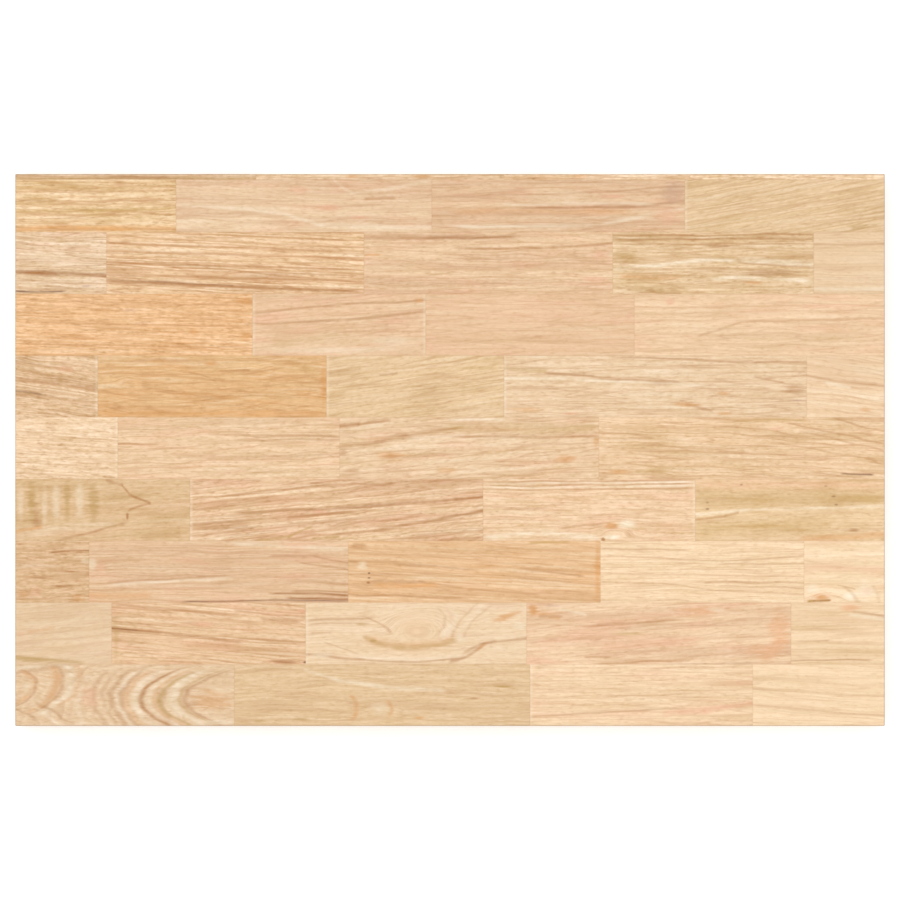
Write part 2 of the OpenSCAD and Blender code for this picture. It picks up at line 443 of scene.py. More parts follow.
def wood_colour(tree, body, layers, drawn, fibre, clouds, light):
    """The body tone under its layers, with light and dark fibres. Darker wood is also warmer,
    so that red loses least and blue most."""
    base = add(tree, "RGB")
    base.outputs[0].default_value = OAK[body]
    colour = base.outputs[0]
    for amount, tone in layers:
        mixed = add(tree, "Mix", {"Factor": amount, 6: colour, 7: OAK[tone]}, data_type="RGBA")
        colour = mixed.outputs[2]
    bundle = ramp(tree, drawn["Bundle"], 0.28, 0.72, -0.13 * fibre, 0.1 * fibre)
    fleck = ramp(tree, drawn["Fleck"], 0.25, 0.75, -0.12 * fibre, 0.12 * fibre)
    cloud = ramp(tree, drawn["Shade"], 0.3, 0.7, 0.07 * clouds, -0.07 * clouds)
    bundle_fleck = number(tree, "ADD", bundle, fleck)
    clouded = number(tree, "ADD", bundle_fleck, cloud)
    shade = [light * part for part in WARM_SHADE]
    warmth = vector(tree, "MULTIPLY_ADD", clouded, shade, [light] * 3)
    return vector(tree, "MULTIPLY", colour, warmth)


def stave(name, body, second, third, *marks, ring=5.5, fade=0.5, heart=None, lean=(0.0, 0.0),
          wave=6.0, ripple=3.0, lines=0.4, threads=0.35, fibre=1.0, second_show=0.5,
          third_show=0.3, clouds=1.0, light=1.0, pale_ends=()):
    """Gives a stave its own piece of oak. The body tone is clouded by the second and the
    third, lined by the rings and the threads, and marked by the streaks, patches and swirls.
    The rings lie ring millimetres apart on the face and lean by so much per millimetre along;
    lines, threads, fibre and clouds are strengths, and light is the stave's brightness."""
    corner_low, corner_high = (1000 * np.array(corner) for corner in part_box(name))
    ends = face_ends(corner_low[0], corner_high[0])
    half_length = (ends[1] - ends[0]) / 2
    half_width = (corner_high[1] - corner_low[1]) / 2
    # Crushed fibres make some of these ends pale
    for end, end_x in zip(("left", "right"), ends):
        if end in pale_ends:
            marks += (patch("milk", (end_x, half_width), (PALE_END_MM, 3 * half_width),
                            PALE_END_SHOW, fray=0.4),)
    # Each stave comes from another place in the noise, so that no line runs on past a joint
    block_number = sum(ord(letter) * (n + 3) for n, letter in enumerate(name)) % BLOCKS
    if heart is None:
        heart, part_shown = log_heart(block_number, half_width)
        ring = ring * part_shown

    material = bpy.data.materials.new("sanded_red_oak_" + name)
    material.use_nodes = True
    tree = material.node_tree
    tree.nodes.clear()
    coordinates = add(tree, "TexCoord")
    place = add(tree, "Mapping", {
        "Vector": coordinates.outputs["Object"],
        "Location": (-PANEL_LEFT_MM, corner_high[1], 0.0),
        "Scale": (1000.0, -1000.0, 1000.0),
    })
    block = vector(tree, "ADD", place, (0.0, 0.0, BLOCK_APART_MM * block_number))
    swirl_mm = 0.0
    for kind, tone, values in marks:
        if tone is None:
            swell = add(tree, "Group", {"Place": place, **values}, node_tree=kind)
            swirl_mm = number(tree, "ADD", swirl_mm, swell)
    grown = add(tree, "Group", {
        "Place": place, "Block": block, "Heart": (0.0, *heart), "Lean": (0.0, *lean),
        "Swirl": swirl_mm, "Ring": ring, "Fade": fade, "Wave": wave, "Ripple": ripple,
    }, node_tree=rings).outputs
    drawn = add(tree, "Group", {"Grain": grown["Grain"], "Straight": grown["Straight"]},
                node_tree=fibres).outputs
    facing = add(tree, "SeparateXYZ", [add(tree, "NewGeometry").outputs["Normal"]]).outputs
    end_grain = number(tree, "ABSOLUTE", facing["X"])

    layers = grain_layers(tree, grown, drawn, end_grain, second, second_show, third, third_show,
                          lines, threads, fibre)
    layers += mark_layers(tree, place, grown["Wobble"], drawn["Bundle"], marks)
    layers += edge_layers(tree, place, facing, end_grain, ends, half_length, half_width)
    colour = wood_colour(tree, body, layers, drawn, fibre, clouds, light)
    # The open pores are rougher than the sanded wood between them, and lie a little deeper
    roughness = ramp(tree, drawn["Dash"], 0.5, 0.7, SANDED_ROUGHNESS, PORE_ROUGHNESS)
    bump = add(tree, "Bump", {"Strength": 0.5, "Distance": PORE_DEPTH, "Height": drawn["Dash"]},
               invert=True)
    shader = add(tree, "BsdfPrincipled",
                 {"Base Color": colour, "Roughness": roughness, "Normal": bump})
    add(tree, "OutputMaterial", [shader])
    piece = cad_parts[name]
    piece.data.materials.clear()
    piece.data.materials.append(material)


# The strip along the rear edge: a thin rip of oak that brings the panel to its full depth,
# glued on like the other rows. Its left stave is darker, with a brown line along it.
stave("strip_stave_1", "tan", "sand", "olive",
      streak("olive", (-12, 5), (283, 5), 2.4, 0.6),
      streak("rust", (106, 3.5), (180, 3.5), 2.4, 0.5),
      lines=0.45, threads=0.3, fibre=1.15, light=0.89)
stave("strip_stave_2", "wheat", "sand", "olive",
      streak("umber", (270, 5), (566, 4.5), 2, 0.3),
      patch("amber", (387, 3), (10, 2.5), 0.4),
      patch("amber", (467, 3), (15, 2.5), 0.4),
      lines=0.45, threads=0.3, fibre=1.2, light=0.97)
stave("strip_stave_3", "wheat", "cream", "amber",
      patch("amber", (651, 3), (12, 2.5), 0.4),
      lines=0.5, threads=0.4, fibre=1.45, light=0.98)
stave("strip_stave_4", "cream", "peach", "olive",
      lines=0.4, threads=0.5, fibre=1.55, light=1.01)

# Row 1, narrower than the rest. In every row the staves are joined end to end by small
# fingers, and the row is glued side by side to the next. Straw and rose staves with long
# straight lines: an amber band along the front of the first, and pale rays that climb across
# the second and third.
stave("row_1_stave_1", "straw", "straw", "olive",
      streak("umber", (-12, 14.5), (195, 12.5), 2.4, 0.45),
      streak("umber", (-12, 25), (195, 24), 2.4, 0.4),
      streak("olive", (-12, 37.5), (195, 33), 3.3, 0.55),
      streak("amber", (-12, 56), (195, 56), 6.8, 0.55),
      ring=9.0, lines=0.35, threads=0.4, fibre=1.25, second_show=0.7, third_show=0.6, light=1.04)
stave("row_1_stave_2", "wheat", "rose", "blush",
      streak("milk", (365, 0), (389, 16), 3.8, 0.4, 1),
      streak("milk", (379, 16), (486, 0), 3.8, 0.45, 2.5),
      streak("umber", (400, 21.5), (439, 21.5), 3.3, 0.5),
      streak("milk", (180, 29.5), (316, 40), 4.2, 0.45, -1.5),
      streak("milk", (306, 38.5), (357, 54), 3.8, 0.5, 0.5),
      streak("milk", (341, 51.5), (486, 55), 4.2, 0.45, 1),
      patch("blush", (327, 12.5), (16, 6), 0.5),
      patch("blush", (362, 32), (16, 6), 0.5),
      patch("blush", (396, 43.5), (16, 4.5), 0.5),
      lines=0.15, threads=0.2, fibre=0.65, second_show=0.6, light=0.95)
stave("row_1_stave_3", "sand", "rose", "blush",
      streak("umber", (471, 20.5), (632, 16), 2.1, 0.4),
      streak("umber", (626, 16), (778, 8), 2.1, 0.4),
      streak("amber", (494, 37.5), (718, 36.5), 5.1, 0.4),
      streak("rust", (572, 33), (727, 31), 2.8, 0.6),
      streak("rust", (718, 31), (780, 23), 2.8, 0.45),
      streak("milk", (551, 29), (741, 27.5), 2.8, 0.5),
      streak("milk", (496, 54), (677, 52.5), 3.4, 0.6),
      streak("milk", (670, 52.5), (780, 31), 3.4, 0.6),
      patch("blush", (689, 19.5), (21, 4.5), 0.5),
      patch("violet", (756, 12.5), (17, 23), 0.32),
      patch("blush", (750, 42.5), (21, 11.5), 0.4),
      lines=0.2, threads=0.25, fibre=0.6, second_show=0.6, light=0.92)
stave("row_1_stave_4", "straw", "wheat", "olive",
      patch("olive", (968, 54), (17, 4.5), 0.4),
      ring=5.4, lean=(-0.17, 0.0), lines=0.3, threads=0.25, fibre=0.7, light=0.94,
      pale_ends=["left"])

# Row 2 has the most strongly lined stave of the panel, the second, where brown rings run
# slightly down to the right, between a streaky short stave and smooth pinkish ones.
stave("row_2_stave_1", "cream", "biscuit", "blush",
      streak("rust", (-9, 45.5), (53, 48.5), 4.5, 1),
      streak("rust", (47, 47.5), (113, 50.5), 3.6, 0.85),
      streak("bark", (-9, 68), (60, 68.5), 1.8, 0.85),
      patch("violet", (82, 62), (8, 2), 0.55),
      ring=5.2, lean=(0.03, 0.0), ripple=4.5, lines=0.3, threads=0.4, fibre=1.15, light=0.93)
stave("row_2_stave_2", "biscuit", "sand", "rust",
      streak("rust", (95, 56), (410, 69), 4.2, 0.9),
      streak("bark", (95, 54), (258, 61.5), 1.4, 0.4),
      streak("umber", (95, 34.5), (410, 43.5), 2.7, 0.6),
      streak("umber", (95, 42), (410, 50.5), 2.2, 0.5),
      streak("umber", (95, 49), (410, 57), 2.2, 0.5),
      streak("umber", (235, 43.5), (410, 59), 2, 0.5),
      streak("umber", (95, 12.5), (410, 23), 2.7, 0.45),
      streak("umber", (95, 22), (410, 30), 2.2, 0.45),
      ring=5.2, fade=0.62, lean=(0.045, 0.0), ripple=2.4, lines=0.6, threads=0.4, fibre=1.15,
      third_show=0.25, light=1.02)
stave("row_2_stave_3", "biscuit", "rose", "blush",
      streak("umber", (373, 6), (490, 6.5), 4.5, 0.55),
      streak("rust", (471, 6), (580, 6), 3.9, 0.75),
      patch("amber", (413, 26.5), (14, 2.5), 0.6),
      streak("umber", (502, 18.5), (615, 18.5), 3, 0.65),
      streak("umber", (608, 18.5), (697, 12.5), 3, 0.65),
      patch("blush", (672, 25.5), (16, 6), 0.5),
      patch("blush", (666, 54), (18, 6), 0.5),
      lines=0.25, threads=0.25, fibre=0.8, second_show=0.6, light=0.94)
stave("row_2_stave_4", "straw", "wheat", "olive",
      streak("umber", (679, 4), (927, 2.5), 2, 0.75),
      streak("umber", (679, 8.5), (927, 7.5), 2, 0.75),
      streak("umber", (679, 13.5), (927, 12.5), 1.8, 0.55),
      patch("olive", (704, 29.5), (21, 7), 0.5),
      streak("milk", (679, 43), (838, 31), 4.2, 0.75, -1),
      streak("milk", (831, 31), (927, 39), 4.9, 0.8),
      streak("umber", (829, 34.5), (927, 41.5), 2.2, 0.5),
      patch("rust", (812, 16), (25, 3), 0.5),
      patch("rust", (865, 46.5), (48, 5), 0.45),
      streak("amber", (693, 50.5), (769, 51.5), 4.8, 0.45),
      streak("umber", (714, 69), (769, 69), 2, 0.6),
      patch("amber", (850, 58.5), (14, 3), 0.45),
      streak("milk", (794, 52.5), (923, 57), 4.2, 0.7, -1),
      ripple=4.0, lines=0.3, threads=0.25, fibre=1.05, third_show=0.4, light=0.95)
stave("row_2_stave_5", "wheat", "ivory", "straw",
      streak("umber", (909, 15), (1010, 14), 2.1, 0.45),
      streak("milk", (909, 65.5), (1010, 65.5), 3.8, 0.6),
      lines=0.15, threads=0.15, fibre=0.4, light=0.93)

# Row 3: an orange stave with fine wavy lines, a pale one whose brown lines climb to the
# right, and two smooth ones with a faint bow of rings in the last.
stave("row_3_stave_1", "orange", "honey", "amber",
      patch("violet", (133, 18.5), (17, 2.5), 0.3),
      patch("amber", (206, 43.5), (8, 7), 0.5),
      patch("amber", (264, 8), (13, 4), 0.5),
      patch("amber", (265, 49.5), (8, 6), 0.5),
      streak("umber", (-9, 7), (281, 14), 2.2, 0.4),
      streak("umber", (-9, 32), (281, 38), 2.2, 0.4),
      streak("umber", (-9, 57.5), (281, 62), 2.1, 0.35),
      ring=4.2, lean=(0.03, 0.0), ripple=4.0, lines=0.3, threads=0.25, fibre=1.2, third_show=0.25,
      light=0.99)
stave("row_3_stave_2", "apricot", "cream", "blush",
      streak("umber", (267, 23), (375, 12.5), 2.7, 0.6),
      streak("umber", (371, 12.5), (479, 7), 2.4, 0.55),
      streak("umber", (267, 34.5), (378, 31), 2.7, 0.55),
      streak("umber", (373, 31), (479, 19.5), 2.7, 0.55),
      streak("umber", (290, 45), (479, 42.5), 2.1, 0.35),
      patch("milk", (373, 64.5), (103, 6), 0.4),
      patch("amber", (465, 8), (8, 3.5), 0.5),
      patch("milk", (433, 55), (39, 9), 0.35),
      patch("straw", (341, 54), (76, 14), 0.45),
      patch("olive", (311, 57.5), (30, 6), 0.25),
      ring=8.0, lean=(-0.07, 0.0), lines=0.1, threads=0.2, fibre=0.65, third_show=0.4, light=0.92,
      pale_ends=["left", "right"])
stave("row_3_stave_3", "apricot", "peach", "blush",
      patch("rust", (663, 6.5), (22, 2.5), 0.3),
      lines=0.1, threads=0.2, fibre=0.5, third_show=0.2, light=0.92)
stave("row_3_stave_4", "peach", "cream", "blush",
      streak("umber", (783, 49.5), (838, 32), 2.7, 0.4),
      streak("umber", (831, 32), (1008, 27.5), 2.7, 0.4),
      patch("blush", (753, 9), (8, 5), 0.5),
      patch("blush", (937, 14), (57, 4.5), 0.4),
      ring=9.0, fade=0.85, lines=0.2, threads=0.2, fibre=0.6, third_show=0.25, light=0.97)

# Row 4: a short, dark-lined stave, the honey-coloured one, straw with climbing lines, and
# a pale stave with brown and milky bands and a small brown knot near its right end.
stave("row_4_stave_1", "biscuit", "tan", "rust",
      streak("bark", (-11, 38.5), (33, 45.5), 2.4, 0.65),
      streak("umber", (-11, 24), (56, 33.5), 3.3, 0.55),
      patch("blush", (57, 16), (13, 6), 0.4),
      ring=4.4, lean=(0.12, 0.0), lines=0.45, threads=0.3, fibre=1.5, third_show=0.25, light=0.94,
      pale_ends=["right"])
stave("row_4_stave_2", "caramel", "honey", "amber",
      patch("amber", (224, 9), (9, 3), 0.5),
      streak("umber", (233, 17), (272, 17), 2, 0.8),
      streak("umber", (198, 18.5), (232, 30), 2.1, 0.45, -1),
      streak("amber", (86, 66.5), (364, 66.5), 5.4, 0.5),
      patch("olive", (333, 11.5), (23, 6), 0.2),
      patch("amber", (355, 33.5), (5, 30), 0.5),
      streak("umber", (88, 4.5), (224, 7), 2.7, 0.4),
      swirl(3, (132, 28.5), (18, 10.5)),
      wave=20, ripple=6, lines=0.2, threads=0.35, fibre=0.8, third_show=0.3, light=0.97)
stave("row_4_stave_3", "straw", "wheat", "olive",
      streak("rust", (418, 23), (441, 20.5), 2.1, 0.45),
      patch("olive", (534, 14), (34, 3.5), 0.4),
      patch("rust", (525, 61), (17, 3), 0.15),
      ring=5.5, lean=(-0.12, 0.0), lines=0.25, threads=0.25, fibre=0.75, light=0.96,
      pale_ends=["left"])
stave("row_4_stave_4", "wheat", "cream", "peach",
      streak("milk", (555, 26), (640, 27), 3.2, 0.6),
      streak("milk", (633, 27.5), (795, 34), 3.4, 0.6),
      streak("olive", (555, 14), (615, 18.5), 5.1, 0.55),
      streak("rust", (607, 20.5), (670, 24), 2.7, 0.65),
      streak("umber", (661, 25.5), (769, 31), 2.7, 0.55),
      streak("umber", (685, 1), (853, 8.5), 2.2, 0.55),
      streak("umber", (845, 8), (916, 7), 2.4, 0.65),
      patch("rust", (741, 32), (17, 3.5), 0.25),
      patch("amber", (815, 43.5), (10, 4), 0.5),
      patch("amber", (773, 56.5), (18, 4), 0.5),
      streak("umber", (769, 55), (803, 64.5), 3, 0.45),
      patch("amber", (815, 66.5), (12, 3), 0.5),
      patch("umber", (894, 37), (18, 7), 0.45),
      streak("umber", (848, 23), (886, 32), 2.2, 0.5),
      patch("violet", (899, 51.5), (13, 1.5), 0.55),
      patch("amber", (589, 62), (25, 3.5), 0.4),
      patch("blush", (638, 66.5), (15, 3), 0.5),
      streak("milk", (572, 1), (617, 1), 3, 0.5),
      lines=0.25, threads=0.3, fibre=0.75, second_show=0.7, light=0.95, pale_ends=["left"])
stave("row_4_stave_5", "cream", "peach", "milk",
      streak("umber", (902, 22), (941, 28.5), 2.4, 0.55),
      streak("umber", (934, 28.5), (1006, 35), 2.1, 0.45),
      streak("milk", (930, 31), (962, 37), 3.4, 0.6),
      patch("amber", (978, 62), (9, 4), 0.4),
      lean=(0.1, 0.0), lines=0.2, threads=0.2, fibre=0.55, light=0.99)

# Row 5: two pale fine-lined staves, then one with brown lines that fan out from its left
# end over amber patches, and a tan one whose lines turn down at the right edge.
stave("row_5_stave_1", "cream", "rose", "peach",
      ring=3.6, lean=(0.05, 0.0), ripple=2.0, lines=0.35, threads=0.2, fibre=1.2, second_show=0.15,
      third_show=0.5, light=1.01, pale_ends=["right"])
stave("row_5_stave_2", "biscuit", "cream", "blush",
      streak("umber", (111, 31), (166, 30), 2.2, 0.55),
      streak("umber", (251, 21), (380, 22), 2.4, 0.55),
      streak("umber", (251, 26.5), (380, 25.5), 2.1, 0.45),
      streak("umber", (210, 45.5), (380, 43.5), 2.1, 0.4),
      ring=4.8, lean=(-0.02, 0.0), lines=0.25, threads=0.25, fibre=0.85, light=0.97)
stave("row_5_stave_3", "wheat", "biscuit", "blush",
      streak("umber", (366, 11), (398, 6.5), 4.5, 0.7),
      streak("umber", (392, 7.5), (433, 2.5), 3, 0.6),
      streak("umber", (366, 33.5), (428, 26.5), 3, 0.55, 1),
      streak("umber", (419, 27.5), (454, 19.5), 4.5, 0.55),
      patch("umber", (377, 40), (9, 7), 0.4),
      streak("umber", (438, 23.5), (517, 10.5), 3, 0.6),
      streak("milk", (366, 16), (428, 8.5), 3.4, 0.35),
      streak("milk", (446, 25.5), (519, 19.5), 3.4, 0.5),
      patch("amber", (432, 45), (24, 6), 0.5),
      patch("rust", (432, 46), (17, 3.5), 0.3),
      patch("umber", (386, 62), (13, 6), 0.4),
      patch("amber", (497, 61), (16, 5), 0.35),
      streak("olive", (488, 11.5), (677, 12.5), 9.8, 0.45),
      streak("umber", (497, 22), (679, 22.5), 2.7, 0.65),
      streak("milk", (495, 3), (566, 3), 3.8, 0.6),
      patch("amber", (633, 47), (16, 6), 0.5),
      patch("amber", (668, 28.5), (4, 10.5), 0.4),
      lean=(-0.06, 0.0), lines=0.15, threads=0.3, fibre=0.8, second_show=0.6, light=0.96)
stave("row_5_stave_4", "biscuit", "wheat", "olive",
      patch("amber", (693, 63), (16, 3.5), 0.5),
      patch("olive", (735, 61), (25, 5), 0.45),
      streak("olive", (829, 3), (911, 3), 3.3, 0.55),
      streak("umber", (888, 6), (1006, 31.5), 2.2, 0.45),
      streak("umber", (939, 0.5), (1006, 18.5), 2.2, 0.45),
      streak("umber", (900, 15), (1006, 39), 2.1, 0.35),
      streak("umber", (868, 27.5), (1006, 53), 2, 0.35),
      streak("bark", (948, 64.5), (988, 65), 1.8, 0.9),
      patch("blush", (876, 12.5), (13, 3.5), 0.4),
      ring=4.6, heart=(-420.0, 19.0), lean=(0.03, 0.0), ripple=4.0, lines=0.25, threads=0.35,
      fibre=0.85, light=0.99)

# Row 6: an olive-tan stave with cross bands and a dark curl, a stave with strong red-brown
# lines climbing to the right, a pale one with a small knot, and an olive one with pips.
stave("row_6_stave_1", "tan", "straw", "olive",
      patch("olive", (19, 24.5), (7, 32), 0.6),
      patch("umber", (26, 51), (8, 10.5), 0.35),
      patch("milk", (6, 28), (6, 27.5), 0.45),
      patch("milk", (34, 31.5), (5, 30), 0.4),
      patch("milk", (47, 26), (7, 30), 0.5),
      patch("milk", (74, 23.5), (7, 30), 0.55),
      streak("milk", (-2, 67.5), (116, 51), 7.6, 0.35, -2.5),
      patch("olive", (60, 24.5), (6, 34.5), 0.5),
      patch("olive", (90, 27), (8, 32), 0.55),
      patch("umber", (24, 38.5), (5, 16), 0.3),
      streak("umber", (103, 0), (125, 7.5), 3.6, 0.6),
      streak("umber", (122, 6), (132, 18), 3.3, 0.65),
      streak("umber", (130, 16.5), (157, 27.5), 3, 0.8, 0.5),
      streak("umber", (129, 37.5), (157, 27), 2.7, 0.6, -1),
      patch("umber", (129, 43), (2, 6), 0.75),
      streak("umber", (42, 72.5), (133, 47.5), 2.7, 0.6, 1),
      streak("amber", (-9, 63), (33, 53.5), 3.6, 0.55),
      lean=(-0.04, 0.0), lines=0.1, threads=0.15, fibre=0.75, second_show=0.7, third_show=0.4,
      light=0.94)
stave("row_6_stave_2", "biscuit", "rose", "blush",
      streak("rust", (250, 38.5), (365, 34), 3.3, 0.65),
      streak("rust", (356, 34), (517, 23), 3.6, 0.75),
      streak("rust", (502, 24.5), (550, 19), 4.2, 0.85),
      streak("umber", (194, 51.5), (313, 43.5), 3, 0.55),
      streak("umber", (306, 44), (394, 37), 3, 0.65),
      streak("umber", (235, 20.5), (341, 8.5), 2.7, 0.55),
      streak("umber", (332, 9.5), (517, 0), 2.7, 0.5),
      streak("umber", (363, 65), (433, 57), 2.7, 0.45),
      streak("umber", (424, 57), (550, 34.5), 3, 0.6),
      streak("rust", (486, 46), (550, 35), 3.3, 0.55),
      patch("umber", (226, 56), (30, 8), 0.5),
      patch("rust", (256, 53.5), (23, 7), 0.35),
      streak("olive", (273, 71.5), (320, 66), 2.7, 0.65),
      streak("olive", (313, 67), (343, 54), 2.7, 0.55),
      streak("olive", (340, 68), (375, 66.5), 3, 0.65),
      streak("umber", (484, 70), (541, 70.5), 2.1, 0.5),
      streak("umber", (388, 12), (439, 3.5), 2.4, 0.45),
      patch("blush", (350, 37.5), (13, 2.5), 0.6),
      ring=6.2, lean=(-0.09, 0.0), lines=0.45, threads=0.35, fibre=1.1, light=0.97,
      pale_ends=["left"])
stave("row_6_stave_3", "peach", "peach", "blush",
      streak("umber", (530, 3.5), (792, 1), 1.8, 0.6),
      streak("milk", (530, 5.5), (792, 3), 2.5, 0.7),
      streak("umber", (530, 8), (792, 5), 1.8, 0.6),
      streak("milk", (530, 10), (792, 7.5), 2.5, 0.65),
      streak("umber", (530, 12.5), (792, 10), 1.8, 0.55),
      streak("umber", (558, 34), (612, 33.5), 2.7, 0.45),
      streak("milk", (536, 67.5), (603, 61), 6.1, 0.7),
      streak("milk", (599, 61), (674, 68), 6.1, 0.75),
      patch("amber", (685, 53), (10, 5), 0.65),
      patch("milk", (704, 51), (13, 7.5), 1),
      patch("milk", (687, 66.5), (16, 4), 1),
      patch("rust", (676, 69.5), (3, 4), 0.8),
      streak("umber", (624, 57), (679, 51), 2.4, 0.45),
      swirl(6, (691, 59), (30, 12.5)),
      ring=5.0, lines=0.25, threads=0.25, fibre=0.9, second_show=0.6, light=0.99,
      pale_ends=["right"])
stave("row_6_stave_4", "straw", "cream", "olive",
      streak("blush", (771, 6), (1013, 6.5), 10.5, 0.35),
      streak("olive", (771, 24), (1013, 21.5), 19.5, 0.5),
      streak("milk", (773, 41), (847, 35), 3.4, 0.65),
      streak("milk", (838, 35.5), (1013, 31.5), 3.4, 0.55),
      streak("umber", (776, 47.5), (821, 42), 3, 0.55),
      streak("umber", (814, 42), (833, 38), 2.4, 0.55),
      streak("olive", (773, 56), (944, 52.5), 16.5, 0.45),
      patch("bark", (796, 27), (3, 1.5), 0.4),
      patch("bark", (796, 34.5), (3, 2), 0.5),
      patch("bark", (941, 20), (3, 1.5), 0.45),
      patch("bark", (944, 29.5), (3, 1.5), 0.45),
      patch("bark", (932, 8), (3, 1.5), 0.4),
      patch("bark", (835, 6.5), (3, 1.5), 0.5),
      patch("rust", (964, 59), (9, 2.5), 0.65),
      streak("amber", (898, 70.5), (1010, 62.5), 6.6, 0.45),
      lean=(-0.01, 0.0), lines=0.15, threads=0.15, fibre=0.75, third_show=0.5, light=1.01)

# Row 7: tan with dark flecks, rose with two dark red-brown streaks along its front, a
# golden stave with three pin knots, and the two palest staves, with a knot at the glue.
stave("row_7_stave_1", "tan", "sand", "rust",
      streak("rust", (37, 13), (93, 10), 2.1, 0.85),
      patch("amber", (11, 62), (10, 7), 0.3),
      patch("amber", (72, 65.5), (10, 5), 0.4),
      patch("blush", (24, 58.5), (10, 9), 0.3),
      patch("milk", (81, 23), (6, 6), 0.45),
      patch("umber", (28, 42.5), (20, 1.5), 0.5),
      patch("umber", (53, 51.5), (17, 1.5), 0.5),
      patch("umber", (63, 35.5), (15, 1.5), 0.5),
      lines=0.2, threads=0.25, fibre=1.25, third_show=0.2, light=0.93)
stave("row_7_stave_2", "sand", "rose", "blush",
      patch("milk", (88, 26.5), (7, 8), 0.55),
      patch("blush", (98, 32), (8, 7), 0.4),
      streak("milk", (104, 50.5), (258, 42), 3.4, 0.55),
      streak("umber", (104, 48), (256, 39.5), 2.4, 0.5),
      streak("amber", (79, 63), (159, 63), 9.9, 0.4),
      streak("bark", (190, 70), (290, 68.5), 1.8, 0.8),
      streak("rust", (316, 57.5), (389, 59.5), 2, 0.6, -1),
      streak("rust", (290, 60.5), (389, 62.5), 2.2, 1, -1),
      streak("rust", (309, 66), (389, 66.5), 2.2, 1, -0.5),
      streak("bark", (283, 68.5), (389, 68.5), 1.7, 0.6, -0.5),
      streak("umber", (290, 18), (350, 18), 2.1, 0.45),
      streak("umber", (341, 17.5), (392, 27), 2.1, 0.5),
      patch("blush", (325, 7), (22, 5), 0.4),
      streak("milk", (244, 2.5), (392, 11), 4.2, 0.5),
      streak("umber", (325, 24), (392, 35.5), 2.1, 0.45),
      ring=5.0, wave=9.0, lines=0.3, threads=0.2, fibre=0.6, third_show=0.35, light=0.94)
stave("row_7_stave_3", "bronze", "tan", "amber",
      patch("umber", (394, 6), (12, 4.5), 0.45),
      patch("bark", (407, 37), (2, 1.5), 0.85),
      patch("bark", (407, 42.5), (3, 1.5), 0.85),
      patch("rust", (406, 48), (3, 2), 0.85),
      patch("milk", (400, 28.5), (8, 7.5), 0.65),
      streak("rust", (407, 46.5), (472, 47.5), 2.7, 0.65),
      streak("umber", (463, 47), (518, 54.5), 2.7, 0.55),
      streak("amber", (408, 50.5), (490, 51.5), 4.9, 0.55),
      streak("umber", (379, 61.5), (525, 66), 2.7, 0.55),
      streak("umber", (434, 26.5), (536, 33.5), 2.4, 0.45),
      streak("umber", (580, 31), (656, 41.5), 2.7, 0.55),
      streak("olive", (589, 1.5), (640, 1.5), 2.7, 0.65),
      patch("amber", (670, 33.5), (5, 43.5), 0.5),
      streak("umber", (515, 55), (605, 61), 2.4, 0.45),
      streak("umber", (578, 42.5), (679, 51), 2.2, 0.4),
      lean=(0.05, 0.0), lines=0.3, threads=0.25, fibre=0.6, third_show=0.25, light=0.99)
stave("row_7_stave_4", "ivory", "pale", "biscuit",
      streak("umber", (666, 9), (778, 10), 2, 0.4),
      streak("umber", (666, 17), (753, 19), 1.8, 0.4),
      streak("umber", (743, 20), (822, 23.5), 1.8, 0.35),
      streak("umber", (812, 23.5), (916, 16.5), 1.8, 0.35),
      streak("umber", (806, 27), (916, 25.5), 1.8, 0.35),
      streak("umber", (666, 37), (787, 40), 1.8, 0.3),
      streak("umber", (776, 40), (916, 41), 1.8, 0.35),
      streak("umber", (787, 46.5), (916, 48), 1.8, 0.4),
      streak("umber", (806, 51.5), (916, 54.5), 1.8, 0.4),
      streak("umber", (666, 46.5), (753, 49.5), 1.8, 0.4),
      streak("umber", (743, 49), (804, 56.5), 1.8, 0.35),
      streak("umber", (795, 57), (916, 61.5), 1.8, 0.35),
      streak("umber", (666, 69), (778, 68), 1.8, 0.35),
      ring=3.6, ripple=2.4, lines=0.3, threads=0.2, fibre=0.6, light=1.0)
stave("row_7_stave_5", "pale", "ivory", "blush",
      swirl(7, (934, 65.5), (28, 17)),
      patch("amber", (927, 64.5), (13, 5), 0.65),
      streak("olive", (910, 69), (938, 68.5), 2.5, 1),
      streak("umber", (916, 69), (939, 68.5), 1.8, 0.9),
      patch("milk", (917, 54), (10, 7), 0.6),
      patch("milk", (960, 63), (12, 7), 1),
      patch("milk", (978, 56.5), (16, 14), 0.75),
      patch("blush", (979, 56.5), (10, 8), 0.25),
      arc("umber", (952, 51.5), (970, 72.5), 5.1, 0.32, 3.5),
      arc("umber", (985, 49.5), (994, 75), 3.9, 0.16, 2.5),
      streak("umber", (944, 50), (967, 56.5), 1.8, 0.4, -0.5),
      lines=0.15, threads=0.15, fibre=0.45, light=1.0)

